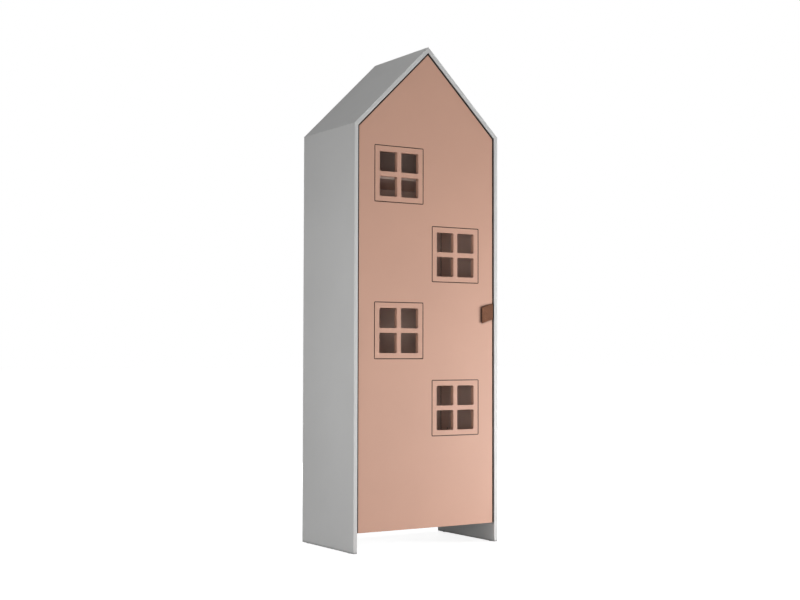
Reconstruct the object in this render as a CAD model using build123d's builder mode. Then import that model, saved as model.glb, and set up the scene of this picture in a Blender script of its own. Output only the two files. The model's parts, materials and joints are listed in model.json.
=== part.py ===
from build123d import *
import os
from math import cos, radians, sin, sqrt

# A child's wardrobe shaped like a tall, narrow house, in millimetres. The two side panels run down to
# the floor as legs and are mitred to two roof panels at 45 degrees. One inset door closes the whole
# front, with four windows of four open panes each, and hangs on three concealed hinges at its left.
# Frame: the origin is on the floor under the middle of the carcass, +X points right as seen from the
# front, +Y points to the back and +Z up.

# ---------------------------------------------------------------- driving dimensions
WIDTH = 576.0
DEPTH = 370.0
HEIGHT = 1715.0
BOARD = 14.0
EASED_EDGE = 1.0
GLIDE_THICKNESS = 2.0

DOOR_THICKNESS = 16.0
DOOR_RECESS = 4.0
DOOR_GAP = 5.0
DOOR_BOTTOM = 68.0

WINDOW_SPREAD = 113.5
WINDOW_TOP_CENTRE = 1266.0
WINDOW_PITCH = 264.0
WINDOW_SIZE = 190.0
PANE = 68.5
PANE_CORNER = 5.0
MUNTIN = 15.5
GROOVE_WIDTH = 3.0
GROOVE_DEPTH = 5.0

SHELF_SETBACK = 3.0
TOP_SHELF_SETBACK = 60.0
BOTTOM_BOARD_Z = 70.0
ADJUSTABLE_SHELF_Z = 324.0
MIDDLE_SHELF_Z = 600.0
TOP_SHELF_Z = 1259.5

BACK_THICKNESS = 6.0
BACK_INSET = 12.0
BACK_GROOVE = 5.0

HINGE_HEIGHTS = {"bottom": 168.0, "middle": 744.0, "top": 1320.0}
CUP_RADIUS = 17.5
CUP_EDGE_DISTANCE = 22.5
CUP_DEPTH = 11.4

RAIL_RADIUS = 12.5
RAIL_HEIGHT = 1203.0

PULL_HEIGHT = 809.0
PULL_WIDTH = 56.0
LEATHER = 2.2

# ---------------------------------------------------------------- derived dimensions
DIAGONAL = sqrt(2)
HALF = WIDTH / 2
INNER = HALF - BOARD
EAVES = HEIGHT - HALF
INNER_EAVES = EAVES + BOARD - BOARD * DIAGONAL
INNER_RIDGE = HEIGHT - BOARD * DIAGONAL
FRONT = -DEPTH / 2
DOOR_FRONT = FRONT + DOOR_RECESS
DOOR_REAR = DOOR_FRONT + DOOR_THICKNESS
DOOR_HALF = INNER - DOOR_GAP
SHELF_FRONT = DOOR_REAR + SHELF_SETBACK
BACK_REAR = DEPTH / 2 - BACK_INSET
BACK_FRONT = BACK_REAR - BACK_THICKNESS
FIXED_SHELVES = {"bottom_board": BOTTOM_BOARD_Z, "middle_shelf": MIDDLE_SHELF_Z, "top_shelf": TOP_SHELF_Z}
SHELF_MIDDLES = [z + BOARD / 2 for z in FIXED_SHELVES.values()]

FLUSH = (Align.CENTER, Align.CENTER, Align.MAX)
STANDING = (Align.CENTER, Align.CENTER, Align.MIN)
TO_RIGHT = (1, 0, 0)
TO_LEFT = (-1, 0, 0)
TO_BACK = (0, 1, 0)
TO_FRONT = (0, -1, 0)
UPWARD = (0, 0, 1)
DOWNWARD = (0, 0, -1)

os.makedirs("parts", exist_ok=True)


# ---------------------------------------------------------------- helpers
def keep(builder, name):
    """Label a finished piece and write it to its own file."""
    builder.part.label = name
    export_step(builder.part, f"parts/{name}.step")


def front_plane(y):
    """The vertical plane at depth y, seen from the front: sketch x is X and sketch y is Z."""
    return Plane.XZ.offset(-y)


def facing(direction, points):
    """A place at each point, its own +Z turned to the direction."""
    return [Plane(origin=point, z_dir=direction).location for point in points]


def gable(inset, bottom):
    """The house-shaped outline, moved in from the carcass's outside by the inset."""
    x = HALF - inset
    eaves = EAVES + inset - inset * DIAGONAL
    ridge = HEIGHT - inset * DIAGONAL
    return [(-x, bottom), (x, bottom), (x, eaves), (0, ridge), (-x, eaves)]


def drill(places, radius, depth):
    """Cut a blind hole at each place, into the material below the surface there."""
    with Locations(*places):
        Cylinder(radius, depth, align=FLUSH, mode=Mode.SUBTRACT)


def cut_cross(size, width, depth):
    """Cut a cross-shaped drive recess down from the origin."""
    Box(size, width, depth, align=FLUSH, mode=Mode.SUBTRACT)
    Box(width, size, depth, align=FLUSH, mode=Mode.SUBTRACT)


def ease_front_and_back(builder):
    """Round the long edges of a shell panel's front and rear faces."""
    faces = builder.faces().sort_by(Axis.Y)
    long_edges = faces[0].edges().sort_by(SortBy.LENGTH)[-2:]
    long_edges += faces[-1].edges().sort_by(SortBy.LENGTH)[-2:]
    fillet(long_edges, EASED_EDGE)


def cut_back_groove():
    """Cut the groove that holds the back panel."""
    with BuildSketch(front_plane(BACK_REAR + 0.2)) as outline:
        Polygon(*gable(BOARD - BACK_GROOVE, BOTTOM_BOARD_Z), align=None)
    extrude(outline.sketch, amount=BACK_THICKNESS + 0.2, mode=Mode.SUBTRACT)


def copies(template, places, name):
    """Write one node that holds a copy of the template at each place."""
    with BuildPart() as group:
        with Locations(*places):
            add(template.part)
    keep(group, name)


# ---------------------------------------------------------------- fasteners
def pan_head_screw(head, head_height, shank, length):
    """A pan-head screw: the head stands above the origin and the shank points down."""
    with BuildPart() as screw:
        Cylinder(head, head_height, align=STANDING)
        fillet(screw.edges().group_by(Axis.Z)[-1], head_height * 0.45)
        with Locations((0, 0, head_height)):
            cut_cross(head * 1.1, 0.7, head_height * 0.6)
        with BuildSketch(Plane.XZ):
            Polygon((0, 0), (shank, 0), (shank, shank - length), (0, -length), align=None)
        revolve(axis=Axis.Z)
    return screw


# ---------------------------------------------------------------- where things are fastened
CAM_Y = [-75.0, 115.0]
CAM_REACH = 34.0
CAM_RADIUS = 7.4
DOWEL_Y = [-43.0, 83.0]
DOWEL_RADIUS = 4.0
DOWEL_IN_PANEL = 10.0
DOWEL_IN_SHELF = 20.0
BOLT_IN_PANEL = 10.5

PIN_COLUMNS = [-120.0, 120.0]
PIN_RADIUS = 2.45
PIN_PITCH = 32.0
PIN_ROWS = range(-2, 3)
PIN_Z = ADJUSTABLE_SHELF_Z - PIN_RADIUS

BACK_SCREW_X = [-200.0, 0.0, 200.0]
BACK_SCREW_LENGTH = 22.0

BRACKET_Y = [-100.0, 100.0]
BRACKET_WIDTH = 22.0
BRACKET_LEG = 36.0
BRACKET_METAL = 2.0
BRACKET_SCREWS = [15.0, 29.0]
SMALL_SCREW_LENGTH = 12.0

RAIL_FLANGE_RADIUS = 27.0
RAIL_FLANGE = 3.0
RAIL_SCREW_CIRCLE = 21.0

GLIDE_RADIUS = 6.0
GLIDE_PLACES = [(side * (HALF - BOARD / 2), y, 0) for side in (-1, 1) for y in (-150, 150)]

PLATE_SCREW_Y = DOOR_REAR + 37.0
PLATE_SCREW_SPREAD = 16.0

CATCH_Z = 876.0
CATCH_SCREW_SPREAD = 22.0
CATCH_SCREW_Y = DOOR_REAR + 17.0

WALL_BRACKET_X = [-150.0, 150.0]
WALL_BRACKET_METAL = 2.0
WALL_BRACKET_HEIGHT = 38.0
WALL_BRACKET_REACH = 32.0
WALL_HOLE_RADIUS = 3.0
WALL_HOLE_Z = TOP_SHELF_Z + BOARD + 22.0


def on_inner_face(side, points):
    """Places on a side panel's inner face, given as (y, z), turned into the wardrobe."""
    inward = TO_LEFT if side > 0 else TO_RIGHT
    return facing(inward, [(side * INNER, y, z) for y, z in points])


def on_shelf_end(side, points):
    """Places on a fixed shelf's end face, given as (y, z), turned towards the side panel."""
    outward = TO_RIGHT if side > 0 else TO_LEFT
    return facing(outward, [(side * INNER, y, z) for y, z in points])


def under_roof(side, distance, y):
    """A place on a roof panel's underside, at a distance up the slope from the eaves."""
    x = side * (INNER - distance / DIAGONAL)
    z = INNER_EAVES + distance / DIAGONAL
    return Plane(origin=(x, y, z), z_dir=(-side, 0, -1)).location


SLOPE_LENGTH = INNER * DIAGONAL
RAIL_SCREWS = [
    (RAIL_SCREW_CIRCLE * cos(radians(angle)), RAIL_SCREW_CIRCLE * sin(radians(angle))) for angle in (90, 210, 330)
]
RAIL_SCREW_POINTS = [(y, RAIL_HEIGHT + z) for y, z in RAIL_SCREWS]
PIN_HOLES = [(y, PIN_Z + PIN_PITCH * row) for y in PIN_COLUMNS for row in PIN_ROWS]
PIN_POINTS = [(y, PIN_Z) for y in PIN_COLUMNS]
CAM_POINTS = [(y, z) for y in CAM_Y for z in SHELF_MIDDLES]
DOWEL_POINTS = [(y, z) for y in DOWEL_Y for z in SHELF_MIDDLES]
EAVES_LEG_POINTS = [(y, INNER_EAVES - d) for y in BRACKET_Y for d in BRACKET_SCREWS]
PLATE_SCREW_POINTS = [
    (PLATE_SCREW_Y, z + sign * PLATE_SCREW_SPREAD) for z in HINGE_HEIGHTS.values() for sign in (-1, 1)
]
CATCH_SCREW_POINTS = [(CATCH_SCREW_Y, CATCH_Z + s * CATCH_SCREW_SPREAD) for s in (-1, 1)]
BACK_SCREW_POINTS = [(x, BACK_REAR, z) for x in BACK_SCREW_X for z in SHELF_MIDDLES]


# ---------------------------------------------------------------- carcass shell
def side_panel(side):
    """A side panel that is also a leg, mitred at its top. side is -1 for left and 1 for right."""
    with BuildPart() as panel:
        with BuildSketch(front_plane(-FRONT)):
            Polygon(
                (side * HALF, GLIDE_THICKNESS),
                (side * INNER, GLIDE_THICKNESS),
                (side * INNER, INNER_EAVES),
                (side * HALF, EAVES),
                align=None,
            )
        extrude(amount=DEPTH)
        ease_front_and_back(panel)
        cut_back_groove()
        drill(on_inner_face(side, CAM_POINTS), 2.5, BOLT_IN_PANEL + 0.5)
        drill(on_inner_face(side, DOWEL_POINTS), DOWEL_RADIUS, DOWEL_IN_PANEL + 0.3)
        drill(on_inner_face(side, PIN_HOLES), 2.5, 9.0)
        drill(on_inner_face(side, RAIL_SCREW_POINTS), 1.5, 10.0)
        drill(on_inner_face(side, EAVES_LEG_POINTS), 1.5, 10.5)
        if side < 0:
            drill(on_inner_face(side, PLATE_SCREW_POINTS), 2.0, 11.0)
        else:
            drill(on_inner_face(side, CATCH_SCREW_POINTS), 1.5, 10.5)
        drill(facing(DOWNWARD, [(x, y, GLIDE_THICKNESS) for x, y, z in GLIDE_PLACES if x * side > 0]), 1.0, 12.5)
    return panel


def roof_panel(side):
    """A roof panel at 45 degrees, mitred at the eaves and at the ridge."""
    with BuildPart() as panel:
        with BuildSketch(front_plane(-FRONT)):
            Polygon((side * HALF, EAVES), (0, HEIGHT), (0, INNER_RIDGE), (side * INNER, INNER_EAVES), align=None)
        extrude(amount=DEPTH)
        ease_front_and_back(panel)
        cut_back_groove()
        distances = BRACKET_SCREWS + [SLOPE_LENGTH - d for d in BRACKET_SCREWS]
        drill([under_roof(side, d, y) for d in distances for y in BRACKET_Y], 1.5, 10.5)
    return panel


for side, word in ((-1, "left"), (1, "right")):
    keep(side_panel(side), f"side_panel_{word}")
    keep(roof_panel(side), f"roof_panel_{word}")

with BuildPart() as back_panel:
    with BuildSketch(front_plane(BACK_REAR)):
        Polygon(*gable(BOARD - BACK_GROOVE + 0.2, BOTTOM_BOARD_Z), align=None)
    extrude(amount=BACK_THICKNESS)
    drill(facing(TO_BACK, BACK_SCREW_POINTS), 1.9, BACK_THICKNESS)
    drill(facing(TO_BACK, [(x, BACK_REAR, WALL_HOLE_Z) for x in WALL_BRACKET_X]), WALL_HOLE_RADIUS, BACK_THICKNESS)
keep(back_panel, "back_panel")

with BuildPart() as glide:
    Cylinder(GLIDE_RADIUS, GLIDE_THICKNESS, align=STANDING)
    chamfer(glide.edges().group_by(Axis.Z)[0], 0.6)
    Cylinder(1.0, GLIDE_THICKNESS + 12.0, align=STANDING)
copies(glide, [Location(place) for place in GLIDE_PLACES], "floor_glides")


# ---------------------------------------------------------------- shelves and their fittings
def fixed_shelf(z):
    """A shelf that ties the sides together with cams and dowels."""
    middle = z + BOARD / 2
    front = DOOR_REAR + (TOP_SHELF_SETBACK if z == TOP_SHELF_Z else SHELF_SETBACK)
    with BuildPart() as shelf:
        with Locations((0, (front + BACK_FRONT) / 2, z)):
            Box(2 * INNER, BACK_FRONT - front, BOARD, align=STANDING)
        fillet(shelf.edges().filter_by(Axis.X).group_by(Axis.Y)[0], EASED_EDGE)
        for side in (-1, 1):
            drill(on_shelf_end(side, [(y, middle) for y in CAM_Y]), 3.6, CAM_REACH)
            drill(on_shelf_end(side, [(y, middle) for y in DOWEL_Y]), DOWEL_RADIUS, DOWEL_IN_SHELF + 0.5)
            drill(facing(DOWNWARD, [(side * (INNER - CAM_REACH), y, z) for y in CAM_Y]), 7.5, 11.5)
        drill(facing(TO_BACK, [(x, BACK_FRONT, middle) for x in BACK_SCREW_X]), 1.5, BACK_SCREW_LENGTH - BACK_THICKNESS)
        if z == TOP_SHELF_Z:
            drill(facing(UPWARD, WALL_SCREW_POINTS), 1.5, 10.5)
    return shelf


WALL_SCREW_POINTS = [
    (x + offset, BACK_FRONT - 20.0, TOP_SHELF_Z + BOARD) for x in WALL_BRACKET_X for offset in (-6.0, 6.0)
]

for name, z in FIXED_SHELVES.items():
    keep(fixed_shelf(z), name)

with BuildPart() as adjustable_shelf:
    with Locations((0, 5, ADJUSTABLE_SHELF_Z)):
        Box(2 * INNER - 2.6, 310.0, BOARD, align=STANDING)
    fillet(adjustable_shelf.edges().filter_by(Axis.X), EASED_EDGE)
keep(adjustable_shelf, "adjustable_shelf")

# a shelf pin: its stem goes into the panel below the origin and its support stands out above it
with BuildPart() as shelf_pin:
    Cylinder(PIN_RADIUS, 8.7, align=FLUSH)
    Cylinder(4.2, 1.1, align=STANDING)
    with Locations((0, 0, 1.1)):
        Cylinder(PIN_RADIUS, 7.5, align=STANDING)
copies(shelf_pin, on_inner_face(-1, PIN_POINTS) + on_inner_face(1, PIN_POINTS), "shelf_pins")

# a cam: a disc in the shelf's underside, open on one side for the bolt's head
with BuildPart() as cam:
    Cylinder(CAM_RADIUS, 11.2, align=FLUSH)
    cut_cross(9.0, 1.6, 2.0)
    with Locations(Plane(origin=(CAM_RADIUS, 0, -BOARD / 2), z_dir=(1, 0, 0)).location):
        Cylinder(3.4, CAM_RADIUS + 3.0, align=FLUSH, mode=Mode.SUBTRACT)

CAM_PLACES = [
    Plane(origin=(side * (INNER - CAM_REACH), y, z), x_dir=(side, 0, 0), z_dir=DOWNWARD).location
    for side in (-1, 1)
    for y in CAM_Y
    for z in FIXED_SHELVES.values()
]
copies(cam, CAM_PLACES, "cam_locks")

# a cam bolt: its thread goes into the side panel below the origin and its head reaches the cam
with BuildPart() as cam_bolt:
    Cylinder(2.45, BOLT_IN_PANEL, align=FLUSH)
    Cylinder(3.0, 24.0, align=STANDING)
    with Locations((0, 0, 24.0)):
        Cylinder(1.8, 6.0, align=STANDING)
    with Locations((0, 0, 30.0)):
        Cylinder(2.8, 4.0, align=STANDING)
copies(cam_bolt, on_inner_face(-1, CAM_POINTS) + on_inner_face(1, CAM_POINTS), "cam_bolts")

with BuildPart() as dowel:
    with Locations((0, 0, -DOWEL_IN_PANEL)):
        Cylinder(DOWEL_RADIUS, DOWEL_IN_PANEL + DOWEL_IN_SHELF, align=STANDING)
    chamfer(dowel.edges(), 0.8)
copies(dowel, on_inner_face(-1, DOWEL_POINTS) + on_inner_face(1, DOWEL_POINTS), "dowels")

copies(pan_head_screw(3.5, 1.8, 1.5, BACK_SCREW_LENGTH), facing(TO_BACK, BACK_SCREW_POINTS), "back_panel_screws")


# ---------------------------------------------------------------- joint brackets inside the roof
def eaves_bracket(side):
    """Two steel plates bent to 135 degrees that tie a side panel to its roof panel."""
    corner = (side * INNER, INNER_EAVES)
    reach = BRACKET_LEG / DIAGONAL
    drop = BRACKET_METAL / DIAGONAL
    bend = BRACKET_METAL * (DIAGONAL - 1)
    with BuildPart() as bracket:
        for y in BRACKET_Y:
            with BuildSketch(front_plane(y + BRACKET_WIDTH / 2)):
                Polygon(
                    (corner[0], corner[1] - BRACKET_LEG),
                    corner,
                    (corner[0] - side * reach, corner[1] + reach),
                    (corner[0] - side * (reach + drop), corner[1] + reach - drop),
                    (corner[0] - side * BRACKET_METAL, corner[1] - bend),
                    (corner[0] - side * BRACKET_METAL, corner[1] - BRACKET_LEG),
                    align=None,
                )
            extrude(amount=BRACKET_WIDTH)
        drill(on_bracket_leg(side), 1.7, BRACKET_METAL)
        drill([lifted(under_roof(side, d, y)) for d in BRACKET_SCREWS for y in BRACKET_Y], 1.7, BRACKET_METAL)
    return bracket


def lifted(place):
    """The same place, moved out of the surface by the bracket's thickness."""
    return place * Location((0, 0, BRACKET_METAL))


def on_bracket_leg(side):
    """Screw places on the upright leg of an eaves bracket."""
    return [lifted(place) for place in on_inner_face(side, EAVES_LEG_POINTS)]


for side, word in ((-1, "left"), (1, "right")):
    keep(eaves_bracket(side), f"eaves_brackets_{word}")

RIDGE_SCREW_PLACES = [
    lifted(under_roof(side, SLOPE_LENGTH - d, y)) for side in (-1, 1) for d in BRACKET_SCREWS for y in BRACKET_Y
]
EAVES_SCREW_PLACES = [
    lifted(under_roof(side, d, y)) for side in (-1, 1) for d in BRACKET_SCREWS for y in BRACKET_Y
]

with BuildPart() as ridge_brackets:
    reach = BRACKET_LEG / DIAGONAL
    drop = BRACKET_METAL / DIAGONAL
    for y in BRACKET_Y:
        with BuildSketch(front_plane(y + BRACKET_WIDTH / 2)):
            Polygon(
                (0, INNER_RIDGE),
                (reach, INNER_RIDGE - reach),
                (reach - drop, INNER_RIDGE - reach - drop),
                (0, INNER_RIDGE - BRACKET_METAL * DIAGONAL),
                (drop - reach, INNER_RIDGE - reach - drop),
                (-reach, INNER_RIDGE - reach),
                align=None,
            )
        extrude(amount=BRACKET_WIDTH)
    drill(RIDGE_SCREW_PLACES, 1.7, BRACKET_METAL)
keep(ridge_brackets, "ridge_brackets")

small_screw = pan_head_screw(3.2, 1.6, 1.4, SMALL_SCREW_LENGTH)
copies(
    small_screw,
    on_bracket_leg(-1) + on_bracket_leg(1) + EAVES_SCREW_PLACES + RIDGE_SCREW_PLACES,
    "bracket_screws",
)


# ---------------------------------------------------------------- clothes rail
with BuildPart() as clothes_rail:
    with BuildSketch(Plane.YZ.offset(-(INNER - RAIL_FLANGE - 0.2))):
        with Locations((0, RAIL_HEIGHT)):
            Circle(RAIL_RADIUS)
            Circle(RAIL_RADIUS - 1.2, mode=Mode.SUBTRACT)
    extrude(amount=2 * (INNER - RAIL_FLANGE - 0.2))
keep(clothes_rail, "clothes_rail")

# a rail flange: a round base on the panel at the origin and a socket that stands out from it
with BuildPart() as rail_flange:
    Cylinder(RAIL_FLANGE_RADIUS, RAIL_FLANGE, align=STANDING)
    fillet(rail_flange.edges().group_by(Axis.Z)[-1], 1.2)
    with Locations((0, 0, RAIL_FLANGE)):
        Cylinder(RAIL_RADIUS + 3.2, 12.0, align=STANDING)
        Cylinder(RAIL_RADIUS + 0.1, 12.0, align=STANDING, mode=Mode.SUBTRACT)
    fillet(rail_flange.edges().group_by(Axis.Z)[-1], 0.8)
    with PolarLocations(RAIL_SCREW_CIRCLE, 3, start_angle=90):
        Cylinder(1.7, RAIL_FLANGE, align=STANDING, mode=Mode.SUBTRACT)


def rail_end(side):
    """The rail's centre on a side panel, with the place's own y turned up."""
    inward = TO_LEFT if side > 0 else TO_RIGHT
    along = TO_FRONT if side > 0 else TO_BACK
    return Plane(origin=(side * INNER, 0, RAIL_HEIGHT), x_dir=along, z_dir=inward).location


for side, word in ((-1, "left"), (1, "right")):
    copies(rail_flange, [rail_end(side)], f"rail_flange_{word}")

RAIL_SCREW_PLACES = [
    place * Location((0, 0, RAIL_FLANGE)) for side in (-1, 1) for place in on_inner_face(side, RAIL_SCREW_POINTS)
]
copies(small_screw, RAIL_SCREW_PLACES, "rail_flange_screws")


# ---------------------------------------------------------------- wall brackets
with BuildPart() as wall_brackets:
    for x in WALL_BRACKET_X:
        with BuildSketch(Plane.YZ.offset(x - 11.0)):
            base = TOP_SHELF_Z + BOARD
            Polygon(
                (BACK_FRONT, base),
                (BACK_FRONT, base + WALL_BRACKET_HEIGHT),
                (BACK_FRONT - WALL_BRACKET_METAL, base + WALL_BRACKET_HEIGHT),
                (BACK_FRONT - WALL_BRACKET_METAL, base + WALL_BRACKET_METAL),
                (BACK_FRONT - WALL_BRACKET_REACH, base + WALL_BRACKET_METAL),
                (BACK_FRONT - WALL_BRACKET_REACH, base),
                align=None,
            )
        extrude(amount=22.0)
    fillet(wall_brackets.edges().filter_by(Axis.Y).group_by(Axis.Z)[-1], 4.0)
    bracket_face = BACK_FRONT - WALL_BRACKET_METAL
    drill(facing(TO_FRONT, [(x, bracket_face, WALL_HOLE_Z) for x in WALL_BRACKET_X]), WALL_HOLE_RADIUS, WALL_BRACKET_METAL)
    drill(facing(UPWARD, [(x, y, z + WALL_BRACKET_METAL) for x, y, z in WALL_SCREW_POINTS]), 1.7, WALL_BRACKET_METAL)
keep(wall_brackets, "wall_brackets")

copies(
    small_screw,
    facing(UPWARD, [(x, y, z + WALL_BRACKET_METAL) for x, y, z in WALL_SCREW_POINTS]),
    "wall_bracket_screws",
)

# ---------------------------------------------------------------- hinges
# Seen from above, an arm on the side panel carries a link on one upright pin, and the link carries
# the cup, and with it the door, on another. A hinge is made at height zero and copied to each height.
CUP_X = -DOOR_HALF + CUP_EDGE_DISTANCE
ARM_PIN = (-230.0, -157.0)
CUP_PIN = (-258.0, -169.0)
LINK_KNEE = (CUP_PIN[0] + 8.0 * cos(radians(-30)), CUP_PIN[1] + 8.0 * sin(radians(-30)))
PIVOT_RADIUS = 1.5
RUNNING_CLEARANCE = 0.05
EYE_RADIUS = 2.6
LINK_METAL = 2.0
LINK_HALF = 7.0
ARM_HALF = 9.0
ARM_METAL = 1.6
NOSE_RADIUS = 3.2
PLATE_TOP = -INNER + 11.0
WEB_TOP = -INNER + 16.0
ARM_BACK = -92.0
ARM_SCREW_Y = -104.0
CUP_SCREW_SPREAD = 22.5
CUP_SCREW_OFFSET = 9.5
CUP_EAR = 1.2

with BuildPart() as hinge_plate:
    with BuildSketch(Plane.YZ.offset(-INNER)):
        with Locations((PLATE_SCREW_Y, 0)):
            RectangleRounded(16.0, 2 * PLATE_SCREW_SPREAD + 16.0, 6.0)
    extrude(amount=ARM_METAL)
    with BuildSketch(Plane.YZ.offset(-INNER)):
        with Locations((PLATE_SCREW_Y + 8.0, 0)):
            Rectangle(50.0, 2 * LINK_HALF)
    extrude(amount=11.0)
    fillet(hinge_plate.edges().group_by(Axis.X)[-1], 1.5)
    drill(facing(TO_RIGHT, [(-INNER + ARM_METAL, PLATE_SCREW_Y, s * PLATE_SCREW_SPREAD) for s in (-1, 1)]), 2.1, ARM_METAL)
    drill(facing(TO_RIGHT, [(PLATE_TOP, ARM_SCREW_Y, 0)]), 2.0, 9.0)

with BuildPart() as hinge_arm:
    with BuildSketch(Plane.XY.offset(-ARM_HALF)):
        Polygon(
            (-INNER + 2.0, ARM_BACK),
            (WEB_TOP, ARM_BACK),
            (WEB_TOP, -128.0),
            (ARM_PIN[0] + NOSE_RADIUS, ARM_PIN[1] + 8.0),
            (ARM_PIN[0] + NOSE_RADIUS, ARM_PIN[1]),
            (ARM_PIN[0] - NOSE_RADIUS, ARM_PIN[1]),
            (ARM_PIN[0] - NOSE_RADIUS, ARM_PIN[1] + 5.0),
            (-INNER + 12.0, -141.0),
            (-INNER + 2.0, -136.0),
            align=None,
        )
        with Locations(ARM_PIN):
            Circle(NOSE_RADIUS)
    extrude(amount=2 * ARM_HALF)
    fillet(hinge_arm.edges().filter_by(Axis.Z).group_by(Axis.Y)[-1], 3.0)
    with BuildSketch(Plane.XY.offset(ARM_METAL - ARM_HALF)):
        Polygon(
            (-INNER, ARM_BACK + 1.0),
            (WEB_TOP - ARM_METAL, ARM_BACK + 1.0),
            (WEB_TOP - ARM_METAL, -128.8),
            (ARM_PIN[0] + NOSE_RADIUS - 1.4, ARM_PIN[1] + 7.0),
            (ARM_PIN[0] + NOSE_RADIUS - 1.4, ARM_PIN[1] - 9.0),
            (-INNER, ARM_PIN[1] - 9.0),
            align=None,
        )
        with Locations(ARM_PIN):
            Circle(NOSE_RADIUS + 2.2)
    extrude(amount=2 * (ARM_HALF - ARM_METAL), mode=Mode.SUBTRACT)
    with Locations((*ARM_PIN, 0)):
        Cylinder(PIVOT_RADIUS, 2 * ARM_HALF, mode=Mode.SUBTRACT)
    drill(facing(TO_RIGHT, [(WEB_TOP, ARM_SCREW_Y, 0)]), 2.2, ARM_METAL)

with BuildPart() as arm_pin:
    with Locations((*ARM_PIN, 0)):
        Cylinder(PIVOT_RADIUS, 2 * ARM_HALF + 0.8)

with BuildPart() as hinge_link:
    with BuildSketch(Plane.XY.offset(-LINK_HALF)):
        with BuildLine() as bent_strip:
            FilletPolyline(CUP_PIN, LINK_KNEE, ARM_PIN, radius=3.0)
        trace(line_width=LINK_METAL)
        with Locations(ARM_PIN, CUP_PIN):
            Circle(EYE_RADIUS)
    extrude(amount=2 * LINK_HALF)
    with Locations((*ARM_PIN, 0), (*CUP_PIN, 0)):
        Cylinder(PIVOT_RADIUS + RUNNING_CLEARANCE, 2 * LINK_HALF, mode=Mode.SUBTRACT)

with BuildPart() as hinge_cup:
    with BuildSketch(front_plane(DOOR_REAR)):
        with Locations((CUP_X, 0)):
            Circle(CUP_RADIUS - 0.1)
    extrude(amount=CUP_DEPTH - 0.1)
    with BuildSketch(front_plane(DOOR_REAR + CUP_EAR)):
        with Locations((CUP_X + 7.0, 21.5), (CUP_X + 7.0, -21.5)):
            RectangleRounded(19.0, 18.0, 6.0)
    extrude(amount=CUP_EAR)
    with BuildSketch(front_plane(DOOR_REAR + CUP_EAR)):
        with Locations((CUP_X, 0)):
            Circle(CUP_RADIUS - 0.8)
    extrude(amount=CUP_EAR + CUP_DEPTH - 0.7, mode=Mode.SUBTRACT)
    cup_screw_points = [
        (CUP_X + CUP_SCREW_OFFSET, DOOR_REAR + CUP_EAR, s * CUP_SCREW_SPREAD) for s in (-1, 1)
    ]
    drill(facing(TO_BACK, cup_screw_points), 1.7, CUP_EAR)
    with Locations((*CUP_PIN, 0)):
        Cylinder(PIVOT_RADIUS, 23.0, mode=Mode.SUBTRACT)

with BuildPart() as cup_pin:
    with Locations((*CUP_PIN, 0)):
        Cylinder(PIVOT_RADIUS, 22.8)

AT_HINGES = [Location((0, 0, z)) for z in HINGE_HEIGHTS.values()]
for word, z in HINGE_HEIGHTS.items():
    for template, name in (
        (hinge_plate, "hinge_plate"),
        (hinge_arm, "hinge_arm"),
        (hinge_link, "hinge_link"),
        (hinge_cup, "hinge_cup"),
    ):
        copies(template, [Location((0, 0, z))], f"{name}_{word}")
copies(arm_pin, AT_HINGES, "hinge_arm_pins")
copies(cup_pin, AT_HINGES, "hinge_cup_pins")

plate_screw = pan_head_screw(3.4, 1.8, 1.9, 12.0)
copies(
    plate_screw,
    [place * Location((0, 0, ARM_METAL)) for place in on_inner_face(-1, PLATE_SCREW_POINTS)],
    "hinge_plate_screws",
)
arm_screw = pan_head_screw(3.8, 2.0, 1.9, 12.5)
copies(arm_screw, facing(TO_RIGHT, [(WEB_TOP, ARM_SCREW_Y, z) for z in HINGE_HEIGHTS.values()]), "hinge_arm_screws")

CUP_SCREW_POINTS = [(x, y, z + height) for x, y, z in cup_screw_points for height in HINGE_HEIGHTS.values()]
copies(small_screw, facing(TO_BACK, CUP_SCREW_POINTS), "hinge_cup_screws")

# ---------------------------------------------------------------- door
PANE_SPREAD = (PANE + MUNTIN) / 2
WINDOW_CENTRES = [
    (WINDOW_SPREAD * (-1 if row % 2 == 0 else 1), WINDOW_TOP_CENTRE - WINDOW_PITCH * row) for row in range(4)
]
PULL_SCREW_X = DOOR_HALF - 17.0
PULL_SCREW_SPREAD = 16.0
PULL_SCREW_POINTS = [(PULL_SCREW_X, PULL_HEIGHT + s * PULL_SCREW_SPREAD) for s in (-1, 1)]
STRIKE_X = DOOR_HALF - 11.5
STRIKE_SCREW_X = STRIKE_X - 5.0
STRIKE_METAL = 1.5

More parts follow.
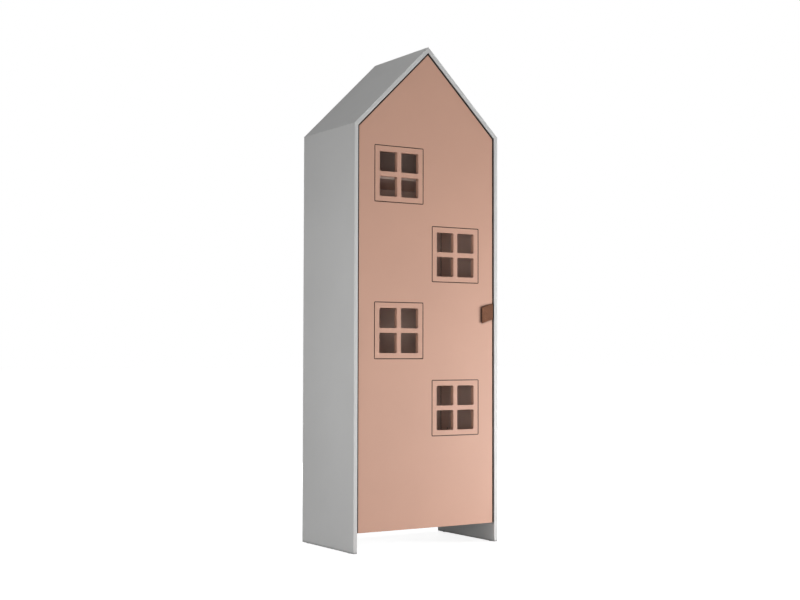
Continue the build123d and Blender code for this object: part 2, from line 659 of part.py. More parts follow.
with BuildPart() as door_leaf:
    with BuildSketch(front_plane(DOOR_REAR)):
        Polygon(*gable(BOARD + DOOR_GAP, DOOR_BOTTOM), align=None)
    extrude(amount=DOOR_THICKNESS)
    fillet(door_leaf.faces().sort_by(Axis.Y)[0].edges(), EASED_EDGE)
    fillet(door_leaf.faces().sort_by(Axis.Y)[-1].edges(), EASED_EDGE)
    for centre in WINDOW_CENTRES:
        with BuildSketch(front_plane(DOOR_FRONT + GROOVE_DEPTH)):
            with Locations(centre):
                RectangleRounded(WINDOW_SIZE + GROOVE_WIDTH, WINDOW_SIZE + GROOVE_WIDTH, 4.0)
                RectangleRounded(WINDOW_SIZE - GROOVE_WIDTH, WINDOW_SIZE - GROOVE_WIDTH, 1.5, mode=Mode.SUBTRACT)
        extrude(amount=GROOVE_DEPTH, mode=Mode.SUBTRACT)
        with BuildSketch(front_plane(DOOR_REAR)):
            with Locations(centre):
                with GridLocations(2 * PANE_SPREAD, 2 * PANE_SPREAD, 2, 2):
                    RectangleRounded(PANE, PANE, PANE_CORNER)
        extrude(amount=DOOR_THICKNESS, mode=Mode.SUBTRACT)
    rear_face = DOOR_REAR
    drill(facing(TO_BACK, [(CUP_X, rear_face, z) for z in HINGE_HEIGHTS.values()]), CUP_RADIUS, CUP_DEPTH)
    drill(facing(TO_BACK, [(x, rear_face, z) for x, y, z in CUP_SCREW_POINTS]), 1.5, 11.0)
    drill(facing(TO_BACK, [(x, rear_face, z) for x, z in PULL_SCREW_POINTS]), 1.5, 11.0)
    drill(facing(TO_BACK, [(STRIKE_SCREW_X, rear_face, CATCH_Z)]), 1.5, 11.0)
keep(door_leaf, "door_leaf")

# ---------------------------------------------------------------- leather pull
PULL_ON_REAR = 33.0
FLAP_LENGTH = 50.0
FLAP_DROOP = 15.0
FLAP_LIFT = 6.0
FLAP_CORNER = 2.5
FOLD = (DOOR_HALF + LEATHER / 2, DOOR_FRONT - LEATHER)
FOLD_CLEARANCE = 0.35
PLATE_METAL = 1.5

with BuildPart() as pull_strap:
    with BuildSketch(Plane.XY.offset(PULL_HEIGHT - PULL_WIDTH / 2)):
        strap_end = FOLD[1] + LEATHER / 2 + FOLD_CLEARANCE
        Polygon(
            (DOOR_HALF - PULL_ON_REAR, DOOR_REAR),
            (DOOR_HALF, DOOR_REAR),
            (DOOR_HALF, strap_end),
            (DOOR_HALF + LEATHER, strap_end),
            (DOOR_HALF + LEATHER, DOOR_REAR + LEATHER),
            (DOOR_HALF - PULL_ON_REAR, DOOR_REAR + LEATHER),
            align=None,
        )
    extrude(amount=PULL_WIDTH)
    fillet(pull_strap.edges().filter_by(Axis.Z).sort_by_distance((DOOR_HALF + LEATHER, DOOR_REAR + LEATHER, PULL_HEIGHT))[0], 1.8)
    drill(facing(TO_BACK, [(x, DOOR_REAR + LEATHER, z) for x, z in PULL_SCREW_POINTS]), 1.7, LEATHER)
keep(pull_strap, "pull_strap")

flap_plane = Plane(
    origin=(*FOLD, PULL_HEIGHT),
    x_dir=(-cos(radians(FLAP_LIFT)), -sin(radians(FLAP_LIFT)), 0),
    z_dir=(-sin(radians(FLAP_LIFT)), cos(radians(FLAP_LIFT)), 0),
)
with BuildPart() as pull_flap:
    with BuildSketch(flap_plane):
        half = PULL_WIDTH / 2
        Polygon((0, half), (0, -half), (FLAP_LENGTH, -half - FLAP_DROOP), (FLAP_LENGTH, half - FLAP_DROOP), align=None)
    extrude(amount=LEATHER / 2, both=True)
    fillet(pull_flap.edges().filter_by(Axis((0, 0, 0), flap_plane.z_dir)).group_by(Axis.X)[0], FLAP_CORNER)
    with Locations((*FOLD, PULL_HEIGHT)):
        Cylinder(LEATHER / 2, PULL_WIDTH)
keep(pull_flap, "pull_flap")

with BuildPart() as pull_plate:
    with BuildSketch(front_plane(DOOR_REAR + LEATHER + PLATE_METAL)):
        with Locations((PULL_SCREW_X - 2.0, PULL_HEIGHT)):
            RectangleRounded(20.0, 50.0, 3.0)
    extrude(amount=PLATE_METAL)
    plate_top = DOOR_REAR + LEATHER + PLATE_METAL
    drill(facing(TO_BACK, [(x, plate_top, z) for x, z in PULL_SCREW_POINTS]), 1.7, PLATE_METAL)
keep(pull_plate, "pull_plate")
copies(
    pan_head_screw(3.2, 1.6, 1.4, 14.5),
    facing(TO_BACK, [(x, plate_top, z) for x, z in PULL_SCREW_POINTS]),
    "pull_screws",
)

# ---------------------------------------------------------------- magnetic catch and bumpers
CATCH_FRONT = DOOR_REAR + STRIKE_METAL + 0.3
CATCH_LENGTH = 34.0

with BuildPart() as magnet_catch:
    with BuildSketch(Plane.YZ.offset(INNER)):
        with Locations((CATCH_FRONT + CATCH_LENGTH / 2, CATCH_Z)):
            RectangleRounded(CATCH_LENGTH, 30.0, 3.0)
    extrude(amount=-15.0)
    fillet(magnet_catch.edges().group_by(Axis.X)[0], 1.5)
    with BuildSketch(Plane.YZ.offset(INNER)):
        with Locations((CATCH_SCREW_Y, CATCH_Z)):
            RectangleRounded(12.0, 2 * CATCH_SCREW_SPREAD + 12.0, 5.0)
    extrude(amount=-3.0)
    drill(facing(TO_LEFT, [(INNER - 3.0, y, z) for y, z in CATCH_SCREW_POINTS]), 1.7, 3.0)
    with Locations((INNER - 7.5, CATCH_FRONT, CATCH_Z)):
        Box(8.0, 3.0, 22.0, align=(Align.CENTER, Align.MIN, Align.CENTER), mode=Mode.SUBTRACT)
keep(magnet_catch, "magnet_catch")

with BuildPart() as catch_magnet:
    with Locations((INNER - 7.5, CATCH_FRONT, CATCH_Z)):
        Box(8.0, 3.0, 22.0, align=(Align.CENTER, Align.MIN, Align.CENTER))
keep(catch_magnet, "catch_magnet")

copies(
    small_screw,
    facing(TO_LEFT, [(INNER - 3.0, y, z) for y, z in CATCH_SCREW_POINTS]),
    "catch_screws",
)

with BuildPart() as strike_plate:
    with BuildSketch(front_plane(DOOR_REAR + STRIKE_METAL)):
        with Locations((STRIKE_X, CATCH_Z)):
            RectangleRounded(22.0, 30.0, 4.0)
    extrude(amount=STRIKE_METAL)
    drill(facing(TO_BACK, [(STRIKE_SCREW_X, DOOR_REAR + STRIKE_METAL, CATCH_Z)]), 1.7, STRIKE_METAL)
keep(strike_plate, "strike_plate")
copies(small_screw, facing(TO_BACK, [(STRIKE_SCREW_X, DOOR_REAR + STRIKE_METAL, CATCH_Z)]), "strike_screw")

BUMPER_X = 240.0
with BuildPart() as bumper:
    Cylinder(4.5, 2.6, align=STANDING)
    fillet(bumper.edges().group_by(Axis.Z)[-1], 1.2)
copies(
    bumper,
    facing(TO_FRONT, [(BUMPER_X, SHELF_FRONT, z) for z in SHELF_MIDDLES[:2]]),
    "door_bumpers",
)
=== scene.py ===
import json
import math
import bpy
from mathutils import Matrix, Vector


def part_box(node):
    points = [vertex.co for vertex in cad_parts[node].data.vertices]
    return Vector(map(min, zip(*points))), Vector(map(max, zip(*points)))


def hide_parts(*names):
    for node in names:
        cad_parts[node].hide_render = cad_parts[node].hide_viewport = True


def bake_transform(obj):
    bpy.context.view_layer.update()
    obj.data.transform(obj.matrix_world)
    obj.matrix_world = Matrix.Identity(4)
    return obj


# A child's wardrobe shaped like a house. The boards, hinges and fittings are the CAD nodes with lacquer,
# metal and plastic materials; the folded leather pull is made here. Everything is in metres.

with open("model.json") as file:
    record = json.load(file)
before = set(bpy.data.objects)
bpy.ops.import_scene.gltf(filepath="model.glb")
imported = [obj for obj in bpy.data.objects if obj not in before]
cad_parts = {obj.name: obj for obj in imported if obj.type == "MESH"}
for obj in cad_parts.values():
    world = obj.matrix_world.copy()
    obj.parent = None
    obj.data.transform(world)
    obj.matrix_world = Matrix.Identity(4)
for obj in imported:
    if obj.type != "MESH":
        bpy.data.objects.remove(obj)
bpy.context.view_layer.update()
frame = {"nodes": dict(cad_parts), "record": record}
nodes = frame["nodes"]
MM = 0.001

# the inside of the cabinet, from the CAD boxes
INNER_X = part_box("side_panel_right")[0].x
INNER_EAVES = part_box("roof_panel_right")[0].z
BOARD_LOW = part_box("bottom_board")[0].z
BOARD_SLACK = 0.5 * MM
INSIDE_SLACK = 0.3 * MM
INSIDE_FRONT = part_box("door_leaf")[1].y - BOARD_SLACK
BACK_MIDDLE = (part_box("back_panel")[0].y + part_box("back_panel")[1].y) / 2


# ---------------------------------------------------------------- material helpers
class Graph:
    """A small wrapper for building one material's node tree."""

    def __init__(self, name):
        self.material = bpy.data.materials.new(name)
        self.material.use_nodes = True
        self.tree = self.material.node_tree
        self.shader = self.tree.nodes["Principled BSDF"]
        self.coordinates = self.add("ShaderNodeTexCoord").outputs["Object"]

    def add(self, kind, **settings):
        """A new node with its properties set."""
        node = self.tree.nodes.new(kind)
        for key, value in settings.items():
            setattr(node, key, value)
        return node

    def link(self, source, target):
        self.tree.links.new(source, target)

    def noise(self, scale, detail=3.0, roughness=0.5, vector=None):
        node = self.add("ShaderNodeTexNoise")
        node.inputs["Scale"].default_value = scale
        node.inputs["Detail"].default_value = detail
        node.inputs["Roughness"].default_value = roughness
        self.link(vector or self.coordinates, node.inputs["Vector"])
        return node.outputs["Fac"]

    def streaks(self, scales, detail, roughness):
        """Noise with its own scale along each axis."""
        mapping = self.add("ShaderNodeMapping")
        mapping.inputs["Scale"].default_value = scales
        self.link(self.coordinates, mapping.inputs["Vector"])
        return self.noise(1.0, detail, roughness, mapping.outputs["Vector"])

    def cells(self, scale, feature="F1", vector=None):
        node = self.add("ShaderNodeTexVoronoi", feature=feature)
        node.inputs["Scale"].default_value = scale
        self.link(vector or self.coordinates, node.inputs["Vector"])
        return node.outputs["Distance"]

    def remap(self, value, low, high, start=0.0, end=1.0):
        """The value's range from start to end, stretched to run from low to high."""
        node = self.add("ShaderNodeMapRange")
        for socket, number in zip(("From Min", "From Max", "To Min", "To Max"), (start, end, low, high)):
            node.inputs[socket].default_value = number
        self.link(value, node.inputs["Value"])
        return node.outputs["Result"]

    def mix(self, factor, first, second):
        """Mix two colours, each a constant or an output."""
        node = self.add("ShaderNodeMix", data_type="RGBA")
        self.link(factor, node.inputs["Factor"])
        for socket, value in ((node.inputs[6], first), (node.inputs[7], second)):
            if isinstance(value, tuple):
                socket.default_value = (*value, 1.0)
            else:
                self.link(value, socket)
        return node.outputs[2]

    def edge_mask(self, radius, samples=6):
        """One along a solid's edges and zero on its flats."""
        bevel = self.add("ShaderNodeBevel", samples=samples)
        bevel.inputs["Radius"].default_value = radius
        geometry = self.add("ShaderNodeNewGeometry")
        dot = self.add("ShaderNodeVectorMath", operation="DOT_PRODUCT")
        self.link(bevel.outputs["Normal"], dot.inputs[0])
        self.link(geometry.outputs["Normal"], dot.inputs[1])
        return self.remap(dot.outputs["Value"], 1.0, 0.0, 0.80, 0.995)

    def crevice_shade(self, distance, samples=8):
        """A mask for painted shade: one deep in a narrow groove or gap and zero on open faces."""
        shelter = self.add("ShaderNodeAmbientOcclusion", samples=samples)
        shelter.inputs["Distance"].default_value = distance
        return self.remap(shelter.outputs["AO"], 1.0, 0.0, 0.42, 0.94)

    def math(self, operation, first, second=0.0):
        node = self.add("ShaderNodeMath", operation=operation)
        for socket, value in ((node.inputs[0], first), (node.inputs[1], second)):
            if isinstance(value, float):
                socket.default_value = value
            else:
                self.link(value, socket)
        return node.outputs["Value"]

    def inside(self):
        """One on the faces inside the cabinet: behind the door and not under the bottom board."""
        split = self.add("ShaderNodeSeparateXYZ")
        self.link(self.coordinates, split.inputs[0])
        x = self.math("ABSOLUTE", split.outputs["X"])
        y = split.outputs["Y"]
        z = split.outputs["Z"]
        mask = self.math("LESS_THAN", x, INNER_X + INSIDE_SLACK)
        for limit in (
            self.math("LESS_THAN", self.math("ADD", x, z), INNER_X + INNER_EAVES + INSIDE_SLACK),
            self.math("GREATER_THAN", z, BOARD_LOW + BOARD_SLACK),
            self.math("GREATER_THAN", y, INSIDE_FRONT),
            self.math("LESS_THAN", y, BACK_MIDDLE),
        ):
            mask = self.math("MULTIPLY", mask, limit)
        return mask

    def bump(self, height, strength, distance, below=None):
        """A normal with the height's relief, on top of another normal if one is given."""
        node = self.add("ShaderNodeBump")
        node.inputs["Strength"].default_value = strength
        node.inputs["Distance"].default_value = distance
        self.link(height, node.inputs["Height"])
        if below is not None:
            self.link(below, node.inputs["Normal"])
        return node.outputs["Normal"]

    def set(self, **sockets):
        """Set or link the shader's sockets; an underscore in a name stands for a space."""
        for key, value in sockets.items():
            socket = self.shader.inputs[key.replace("_", " ")]
            if isinstance(value, bpy.types.NodeSocket):
                self.link(value, socket)
            elif isinstance(value, tuple):
                socket.default_value = (*value, 1.0)
            else:
                socket.default_value = value


def shade(colour, amount):
    """The colour made darker or lighter."""
    return tuple(min(1.0, channel * amount) for channel in colour)


def deepened(colour):
    """The colour after light has bounced off it twice."""
    return tuple(channel * channel / max(colour) for channel in colour)


# ---------------------------------------------------------------- materials
# width of the painted highlight along the lacquer's edges
EDGE_HIGHLIGHT_REACH = 1.2 * MM
# reach and darkness of the painted shade in narrow grooves and gaps
CREVICE_SHADE_REACH = 11.0 * MM
CREVICE_SHADE_TONE = 0.04


def lacquer(name, colour, roughness, coat=0.0, edge=1.06, gloss=0.5, inner=None):
    """Sprayed satin lacquer on board: cloudy tone, orange peel, a painted highlight along the edges and
    painted shade in narrow grooves and gaps.
    """
    g = Graph(name)
    cloud = g.remap(g.noise(scale=3.1, detail=4.0), 0.0, 1.0, 0.3, 0.7)
    speck = g.remap(g.noise(scale=420.0, detail=2.0), 0.0, 1.0, 0.62, 0.72)
    inside = g.inside() if inner else None

    def paint(amount):
        if inner is None:
            return shade(colour, amount)
        return g.mix(inside, shade(colour, amount), shade(inner, amount))

    tone = g.mix(cloud, paint(0.972), paint(1.022))
    tone = g.mix(g.remap(speck, 0.0, 0.22), tone, paint(0.90))
    # painted highlight: the edges lightened by the edge factor
    tone = g.mix(g.remap(g.edge_mask(EDGE_HIGHLIGHT_REACH), 0.0, 0.75), tone, paint(edge))
    # painted shade: grooves and gaps darkened by ambient occlusion to a deep, dark tone of the paint
    tone = g.mix(g.crevice_shade(CREVICE_SHADE_REACH), tone, shade(deepened(colour), CREVICE_SHADE_TONE))
    fibres = g.streaks((260.0, 260.0, 18.0), detail=3.0, roughness=0.6)
    orange_peel = g.noise(scale=620.0, detail=2.0, roughness=0.45)
    normal = g.bump(fibres, strength=0.05, distance=0.0004)
    normal = g.bump(orange_peel, strength=0.12, distance=0.0006, below=normal)
    smudge = g.noise(scale=38.0, detail=5.0, roughness=0.6)
    g.set(
        Base_Color=tone,
        Roughness=g.remap(smudge, roughness - 0.05, roughness + 0.06, 0.3, 0.7),
        Normal=normal,
        Coat_Weight=coat,
        Coat_Roughness=0.22,
        Specular_IOR_Level=gloss,
    )
    return g.material


def raw_board(name, colour, inner):
    """The matt painted fibre board of the back."""
    g = Graph(name)
    cloud = g.noise(scale=5.0, detail=5.0)
    fibre = g.streaks((900.0, 900.0, 240.0), detail=4.0, roughness=0.7)
    inside = g.inside()

    def paint(amount):
        return g.mix(inside, shade(colour, amount), shade(inner, amount))

    tone = g.mix(cloud, paint(0.93), paint(1.05))
    tone = g.mix(g.remap(fibre, 0.0, 0.35, 0.45, 0.75), tone, paint(0.86))
    g.set(
        Base_Color=tone,
        Roughness=g.remap(fibre, 0.62, 0.78),
        Normal=g.bump(fibre, strength=0.25, distance=0.0005),
        Specular_IOR_Level=0.35,
    )
    return g.material


def steel(name, colour, roughness, grain, strength, spangle=0.0):
    """Plated or brushed metal. grain is the streaks' scale along each axis, strength their depth."""
    g = Graph(name)
    streaks = g.streaks(grain, detail=4.0, roughness=0.65)
    smudge = g.noise(scale=45.0, detail=4.0, roughness=0.6)
    tone = g.mix(g.remap(streaks, 0.0, 1.0, 0.3, 0.7), shade(colour, 0.90), shade(colour, 1.06))
    if spangle:
        tone = g.mix(g.remap(g.cells(spangle), 0.0, 0.5), tone, shade(colour, 0.78))
    # painted highlight: a bright glint along the metal's edges
    tone = g.mix(g.remap(g.edge_mask(0.0005), 0.0, 0.6), tone, shade(colour, 1.18))
    g.set(
        Base_Color=tone,
        Metallic=1.0,
        Roughness=g.remap(smudge, roughness - 0.06, roughness + 0.10, 0.3, 0.7),
        Normal=g.bump(streaks, strength=strength, distance=0.00012),
    )
    return g.material


def plastic(name, colour, roughness, texture, soft=False):
    """Moulded plastic or rubber with a fine sparked texture."""
    g = Graph(name)
    sparks = g.cells(texture)
    cloud = g.noise(scale=60.0, detail=3.0)
    g.set(
        Base_Color=g.mix(cloud, shade(colour, 0.94), shade(colour, 1.04)),
        Roughness=g.remap(sparks, roughness - 0.06, roughness + 0.10),
        Normal=g.bump(sparks, strength=0.25, distance=0.00015),
        Subsurface_Weight=0.25 if soft else 0.0,
        Subsurface_Scale=0.002,
    )
    return g.material


def beech(name, colour):
    """Unfinished turned beech: long grain and short dark flecks."""
    g = Graph(name)
    grain = g.streaks((60.0, 900.0, 900.0), detail=5.0, roughness=0.6)
    flecks = g.streaks((500.0, 2600.0, 2600.0), detail=2.0, roughness=0.5)
    tone = g.mix(g.remap(grain, 0.0, 1.0, 0.35, 0.65), shade(colour, 0.82), shade(colour, 1.10))
    tone = g.mix(g.remap(flecks, 0.0, 0.5, 0.58, 0.70), tone, shade(colour, 0.55))
    g.set(Base_Color=tone, Roughness=0.62, Normal=g.bump(grain, strength=0.3, distance=0.0003))
    return g.material


def leather(name, colour):
    """Vegetable-tanned leather: pebbled grain, pores, pulled-up tone and fine scuffs."""
    g = Graph(name)
    warped = g.add("ShaderNodeVectorMath", operation="ADD")
    swirl = g.add("ShaderNodeTexNoise")
    swirl.inputs["Scale"].default_value = 260.0
    shrink = g.add("ShaderNodeVectorMath", operation="SCALE")
    shrink.inputs["Scale"].default_value = 0.0012
    g.link(g.coordinates, swirl.inputs["Vector"])
    g.link(swirl.outputs["Color"], shrink.inputs[0])
    g.link(g.coordinates, warped.inputs[0])
    g.link(shrink.outputs["Vector"], warped.inputs[1])
    pebbles = g.cells(scale=780.0, vector=warped.outputs["Vector"])
    creases = g.cells(scale=430.0, feature="DISTANCE_TO_EDGE", vector=warped.outputs["Vector"])
    pores = g.remap(g.noise(scale=1500.0, detail=1.0), 0.0, 1.0, 0.56, 0.68)
    patch = g.remap(g.noise(scale=52.0, detail=5.0, roughness=0.6), 0.0, 1.0, 0.3, 0.7)
    scuffs = g.remap(g.streaks((70.0, 70.0, 700.0), detail=3.0, roughness=0.6), 0.0, 1.0, 0.60, 0.74)
    tone = g.mix(patch, shade(colour, 0.82), shade(colour, 1.18))
    tone = g.mix(g.remap(creases, 0.45, 0.0, 0.0, 0.09), tone, shade(colour, 0.55))
    tone = g.mix(g.remap(pores, 0.0, 0.5), tone, shade(colour, 0.45))
    tone = g.mix(g.remap(scuffs, 0.0, 0.4), tone, shade(colour, 1.45))
    # painted highlight: the strip's rounded edges lightened
    tone = g.mix(g.remap(g.edge_mask(0.0009), 0.0, 0.35), tone, shade(colour, 1.5))
    normal = g.bump(pebbles, strength=0.35, distance=0.0004)
    valleys = g.remap(creases, 0.0, 1.0, 0.0, 0.10)
    normal = g.bump(valleys, strength=0.45, distance=0.0003, below=normal)
    normal = g.bump(pores, strength=0.2, distance=0.0002, below=normal)
    g.set(
        Base_Color=tone,
        Roughness=g.remap(pebbles, 0.55, 0.74),
        Normal=normal,
        Specular_IOR_Level=0.14,
    )
    return g.material


def cut_edge(name, colour):
    """A burnished cut leather edge with the layers of its fibres."""
    g = Graph(name)
    layers = g.streaks((2200.0, 2200.0, 160.0), detail=4.0, roughness=0.7)
    tone = g.mix(g.remap(layers, 0.0, 1.0, 0.3, 0.7), shade(colour, 0.6), shade(colour, 1.3))
    g.set(Base_Color=tone, Roughness=0.5, Normal=g.bump(layers, strength=0.5, distance=0.0003))
    return g.material


CARCASS_WHITE = (0.66, 0.66, 0.655)
DOOR_PINK = (0.634, 0.372, 0.278)
INSIDE_PINK = (0.90, 0.70, 0.61)
TAN = (0.200, 0.084, 0.044)

looks = {
    "shell_lacquer": lacquer(
        "shell_lacquer", CARCASS_WHITE, roughness=0.42, coat=0.08, inner=INSIDE_PINK
    ),
    "shelf_lacquer": lacquer("shelf_lacquer", CARCASS_WHITE, roughness=0.46, inner=INSIDE_PINK),
    "back_board": raw_board("back_board", shade(CARCASS_WHITE, 0.92), INSIDE_PINK),
    "door_lacquer": lacquer("door_lacquer", DOOR_PINK, roughness=0.50, edge=1.05, gloss=0.36),
    "dowel_beech": beech("dowel_beech", (0.52, 0.31, 0.15)),
    "zinc_steel": steel(
        "zinc_steel",
        (0.62, 0.63, 0.65),
        roughness=0.30,
        grain=(900.0, 900.0, 900.0),
        strength=0.10,
        spangle=700.0,
    ),
    "cam_zinc": steel(
        "cam_zinc",
        (0.42, 0.42, 0.43),
        roughness=0.45,
        grain=(700.0, 700.0, 700.0),
        strength=0.25,
        spangle=500.0,
    ),
    "bracket_steel": steel(
        "bracket_steel",
        (0.60, 0.60, 0.62),
        roughness=0.33,
        grain=(60.0, 1500.0, 60.0),
        strength=0.20,
        spangle=260.0,
    ),
    "hinge_nickel": steel(
        "hinge_nickel", (0.66, 0.63, 0.59), roughness=0.24, grain=(1400.0, 90.0, 1400.0), strength=0.12
    ),
    "rail_chrome": steel(
        "rail_chrome", (0.72, 0.73, 0.75), roughness=0.14, grain=(30.0, 2200.0, 2200.0), strength=0.06
    ),
    "magnet_steel": steel(
        "magnet_steel", (0.16, 0.16, 0.17), roughness=0.50, grain=(500.0, 500.0, 500.0), strength=0.3
    ),
    "catch_plastic": plastic("catch_plastic", (0.72, 0.72, 0.71), roughness=0.45, texture=1800.0),
    "glide_plastic": plastic("glide_plastic", (0.66, 0.66, 0.65), roughness=0.40, texture=1500.0),
    "bumper_rubber": plastic(
        "bumper_rubber", (0.62, 0.62, 0.60), roughness=0.35, texture=900.0, soft=True
    ),
    "tan_leather": leather("tan_leather", TAN),
}
node_slots = {part["node"]: part["material_slot"] for part in frame["record"]["subparts"]}
for name, cad_node in nodes.items():
    for material_slot in cad_node.material_slots:
        material_slot.material = looks[node_slots[name]]


# ---------------------------------------------------------------- leather pull
strap_low, strap_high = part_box("pull_strap")
flap_low, flap_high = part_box("pull_flap")
door_low, door_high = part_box("door_leaf")
THICK = 2.2 * MM
HALF_THICK = THICK / 2
PULL_MIDDLE = (strap_low.z + strap_high.z) / 2
PULL_HALF_WIDTH = (strap_high.z - strap_low.z) / 2
FLAP_RUN = 50.0 * MM
FLAP_DROP = 15.0 * MM
END_RADIUS = 2.5 * MM
REAR_STEP = 1.0 * MM
REAR_POINTS = 30
EDGE_STEPS = 12
FLAP_STEPS = 78
EDGE_TURN = 2.0 * MM
LIFT = 6.0
BOW = 6.5
BOW_CENTRE = 0.35
DROP_CURVE = 0.06
TIP_THINNING = 0.45
TIP_FADE = 0.8 * MM
CREASE_INSET = 3.0 * MM
CREASE_DEPTH = 0.30 * MM
CREASE_WIDTH = 0.32 * MM
ROUNDING_DEPTH = 0.5 * MM
ROUNDING_WIDTH = 0.7 * MM
RIM = 0.35
# the cross-section's points, in millimetres in from an edge, close together at the pressed crease
INSETS = (
    (0.0, 0.25, 0.6, 1.0, 1.5, 2.0, 2.4, 2.65, 2.85, 3.0)
    + (3.15, 3.35, 3.6, 4.2, 5.5, 8.0, 12.0, 17.0, 22.0)
)


def arc(centre, radius, first, last, steps):
    """Points on an arc, angles in degrees."""
    points = []
    for step in range(steps + 1):
        angle = math.radians(first + (last - first) * step / steps)
        x = centre[0] + radius * math.cos(angle)
        y = centre[1] + radius * math.sin(angle)
        points.append(Vector((x, y)))
    return points


def strap_path():
    """The strap's centre line seen from above, from behind the door round its edge to the free end."""
    side = door_high.x + HALF_THICK
    back = door_high.y + HALF_THICK
    front = door_low.y - HALF_THICK
    points = [Vector((strap_low.x + step * REAR_STEP, back)) for step in range(REAR_POINTS)]
    points += arc((side - EDGE_TURN, back - EDGE_TURN), EDGE_TURN, 90, 0, 8)
    start = back - EDGE_TURN
    end = front + EDGE_TURN
    for step in range(1, EDGE_STEPS):
        points.append(Vector((side, start + (end - start) * step / EDGE_STEPS)))
    points += arc((side - EDGE_TURN, front + EDGE_TURN), EDGE_TURN, 0, LIFT - 90, 10)
    heading = math.radians(180.0 + LIFT)
    tip = points[-1].copy()
    run = FLAP_RUN - END_RADIUS
    for step in range(FLAP_STEPS):
        part = (step + 0.5) / FLAP_STEPS
        angle = heading + math.radians(BOW * (BOW_CENTRE - part))
        tip = tip + Vector((math.cos(angle), math.sin(angle))) * (run / FLAP_STEPS)
        points.append(tip.copy())
    return points


def make_pull():
    """One strip of leather along the path, with a pressed crease, rounded edges and a thin tip."""
    path = strap_path()
    lengths = [0.0]
    for before, after in zip(path, path[1:]):
        lengths.append(lengths[-1] + (after - before).length)
    total = lengths[-1]
    fold_at = total - FLAP_RUN
    near_half = [-PULL_HALF_WIDTH + inset * MM for inset in INSETS]
    across = near_half + [0.0] + [-value for value in reversed(near_half)]
    vertices = []
    rings = []
    for index, point in enumerate(path):
        before = path[max(0, index - 1)]
        after = path[min(len(path) - 1, index + 1)]
        along = (after - before).normalized()
        normal = Vector((-along.y, along.x))
        from_end = total - lengths[index]
        narrowed = 0.0
        if from_end < END_RADIUS:
            narrowed = END_RADIUS - math.sqrt(max(0.0, END_RADIUS**2 - (END_RADIUS - from_end) ** 2))
        half = PULL_HALF_WIDTH - narrowed
        part = max(0.0, (lengths[index] - fold_at) / FLAP_RUN)
        drop = FLAP_DROP * (part - DROP_CURVE * math.sin(math.pi * min(1.0, part)))
        thin = HALF_THICK * (1.0 - TIP_THINNING * math.exp(-((from_end / TIP_FADE) ** 2)))
        middle = PULL_MIDDLE - drop

        def place(offset_z, offset_out):
            x = point.x + normal.x * offset_out
            y = point.y + normal.y * offset_out
            return (x, y, middle + offset_z)

        ring = []
        for value in across:
            z = value * half / PULL_HALF_WIDTH
            edge = min(half - abs(z), from_end)
            crease = CREASE_DEPTH * math.exp(-(((edge - CREASE_INSET) / CREASE_WIDTH) ** 2))
            rounding = ROUNDING_DEPTH * max(0.0, 1.0 - edge / ROUNDING_WIDTH) ** 2
            ring.append(place(z, -(thin - crease - rounding)))
        ring += [place(half, thin * side) for side in (-RIM, 0.0, RIM)]
        for value in reversed(across):
            z = value * half / PULL_HALF_WIDTH
            edge = half - abs(z)
            rounding = ROUNDING_DEPTH * max(0.0, 1.0 - edge / ROUNDING_WIDTH) ** 2
            ring.append(place(z, thin - rounding))
        ring += [place(-half, thin * side) for side in (RIM, 0.0, -RIM)]
        start = len(vertices)
        vertices.extend(ring)
        rings.append(range(start, start + len(ring)))
    faces = []
    edge_faces = set()
    count = len(rings[0])
    wide = len(across)
    for first, second in zip(rings, rings[1:]):
        for k in range(count):
            n = (k + 1) % count
            if wide - 1 <= k < wide + 3 or k >= 2 * wide + 2:
                edge_faces.add(len(faces))
            faces.append((first[k], first[n], second[n], second[k]))
    for ring, flip in ((rings[0], True), (rings[-1], False)):
        lower = list(ring[:wide])
        upper = list(ring[wide + 3 : 2 * wide + 3])
        upper.reverse()
        for k in range(wide - 1):
            edge_faces.add(len(faces))
            quad = (lower[k], lower[k + 1], upper[k + 1], upper[k])
            faces.append(quad if not flip else tuple(reversed(quad)))
        for cap in (
            (lower[-1], ring[wide], ring[wide + 1], ring[wide + 2], upper[-1]),
            (upper[0], ring[2 * wide + 3], ring[2 * wide + 4], ring[2 * wide + 5], lower[0]),
        ):
            edge_faces.add(len(faces))
            faces.append(cap if not flip else tuple(reversed(cap)))
    mesh = bpy.data.meshes.new("leather_pull")
    mesh.from_pydata(vertices, [], faces)
    mesh.validate()
    mesh.update()
    mesh.materials.append(looks["tan_leather"])
    mesh.materials.append(cut_edge("leather_cut_edge", shade(TAN, 0.85)))
    for polygon in mesh.polygons:
        polygon.use_smooth = True
        if polygon.index in edge_faces:
            polygon.material_index = 1
    pull = bpy.data.objects.new("leather_pull", mesh)
    bpy.context.scene.collection.objects.link(pull)
    return pull


pull = make_pull()
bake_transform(pull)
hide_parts("pull_strap", "pull_flap")


# ---------------------------------------------------------------- floor and light
FLOOR_REACH = 60.0
FLOOR_TONES = ((0.78, 0.78, 0.78), (0.82, 0.82, 0.82))
FADE_START = 0.6
FADE_END = 5.0
GLOW_NEAR = 0.80
WHITE = (1.0, 1.0, 1.0, 1.0)
AMBIENT = 0.01
# each light's name, place, target, width and height, and power in watts
LIGHTS = (
    ("left", (-2.0, -0.2, 0.85), (-0.288, 0.0, 0.85), (1.0, 0.5), 11.4),
    ("key", (1.9, -1.3, 0.3), (0.0, -0.18, 0.6), (0.8, 0.5), 41.0),
    ("low", (0.2, -2.2, 0.25), (0.0, -0.18, 0.5), (1.2, 0.4), 3.0),
    ("front", (-1.95, -3.1, 0.55), (0.0, -0.18, 0.8), (1.4, 1.4), 34.0),
    ("top", (0.0, -0.3, 4.0), (0.0, 0.0, 1.0), (2.4, 2.4), 41.0),
    ("back", (1.2, 3.4, 1.3), (0.0, 0.18, 0.9), (2.0, 2.0), 30.0),
)


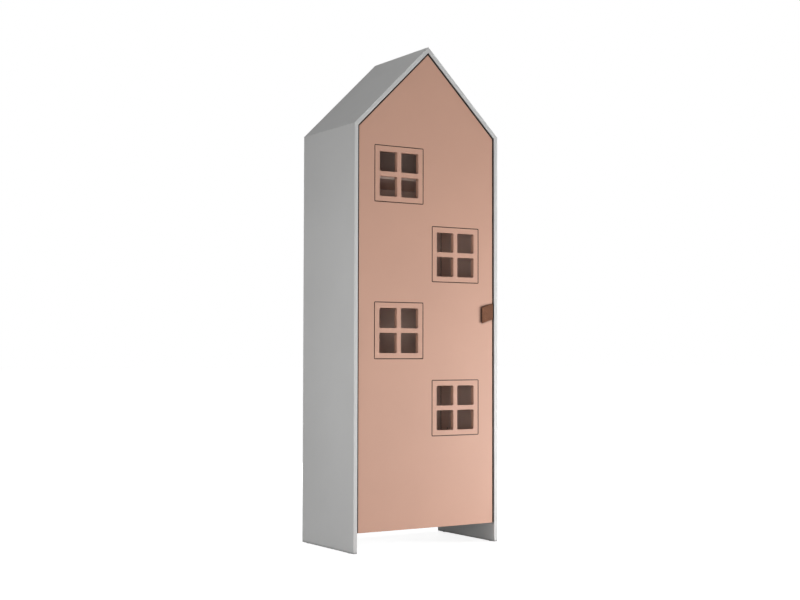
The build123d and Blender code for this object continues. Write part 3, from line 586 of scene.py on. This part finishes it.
def make_floor():
    """A pale floor that fades to white away from the wardrobe."""
    mesh = bpy.data.meshes.new("floor")
    reach = FLOOR_REACH
    corners = [(-reach, -reach, 0), (reach, -reach, 0), (reach, reach, 0), (-reach, reach, 0)]
    mesh.from_pydata(corners, [], [(0, 1, 2, 3)])
    floor = bpy.data.objects.new("floor", mesh)
    bpy.context.scene.collection.objects.link(floor)
    g = Graph("floor_paint")
    g.set(Base_Color=g.mix(g.noise(scale=9.0, detail=4.0), *FLOOR_TONES), Roughness=0.85)
    distance = g.add("ShaderNodeVectorMath", operation="LENGTH")
    g.link(g.coordinates, distance.inputs[0])
    fade = g.remap(distance.outputs["Value"], 0.0, 1.0, FADE_START, FADE_END)
    glow = g.add("ShaderNodeEmission")
    g.link(g.remap(fade, GLOW_NEAR, 1.0), glow.inputs["Strength"])
    both = g.add("ShaderNodeAddShader")
    g.link(g.shader.outputs["BSDF"], both.inputs[0])
    g.link(glow.outputs["Emission"], both.inputs[1])
    path = g.add("ShaderNodeLightPath")
    seen = g.add("ShaderNodeMixShader")
    g.link(path.outputs["Is Camera Ray"], seen.inputs[0])
    g.link(g.shader.outputs["BSDF"], seen.inputs[1])
    g.link(both.outputs["Shader"], seen.inputs[2])
    output = g.tree.nodes["Material Output"]
    g.link(seen.outputs["Shader"], output.inputs["Surface"])
    mesh.materials.append(g.material)


def soft_box(name, position, target, size, power):
    """A rectangular area light that faces the target."""
    light = bpy.data.lights.new(name, "AREA")
    light.shape = "RECTANGLE"
    light.size, light.size_y = size
    light.energy = power
    lamp = bpy.data.objects.new(name, light)
    lamp.location = position
    lamp.rotation_euler = (Vector(target) - Vector(position)).to_track_quat("-Z", "Y").to_euler()
    bpy.context.scene.collection.objects.link(lamp)


def make_world(level):
    """White to the camera and a softer level as light."""
    world = bpy.data.worlds.new("studio")
    world.use_nodes = True
    tree = world.node_tree
    ambient = tree.nodes["Background"]
    ambient.inputs["Color"].default_value = WHITE
    ambient.inputs["Strength"].default_value = level
    white = tree.nodes.new("ShaderNodeBackground")
    white.inputs["Color"].default_value = WHITE
    white.inputs["Strength"].default_value = 1.0
    path = tree.nodes.new("ShaderNodeLightPath")
    seen = tree.nodes.new("ShaderNodeMixShader")
    tree.links.new(path.outputs["Is Camera Ray"], seen.inputs[0])
    tree.links.new(ambient.outputs["Background"], seen.inputs[1])
    tree.links.new(white.outputs["Background"], seen.inputs[2])
    tree.links.new(seen.outputs["Shader"], tree.nodes["World Output"].inputs["Surface"])
    bpy.context.scene.world = world


make_floor()
make_world(AMBIENT)
for light in LIGHTS:
    soft_box(*light)

# ---------------------------------------------------------------- camera
CAMERA_PLACE = (-2.4951, -4.1888, 0.6530)
CAMERA_TILT = 2.115
CAMERA_TURN = -33.750

camera_data = bpy.data.cameras.new("camera")
camera_data.sensor_width = 36.0
camera_data.lens = 62.10
camera_data.shift_x = -0.090
camera_data.shift_y = 0.006
camera = bpy.data.objects.new("camera", camera_data)
camera.location = CAMERA_PLACE
camera.rotation_euler = (math.radians(90.0 + CAMERA_TILT), 0.0, math.radians(CAMERA_TURN))
bpy.context.scene.collection.objects.link(camera)
bpy.context.scene.camera = camera
bpy.context.scene.view_settings.view_transform = "Standard"
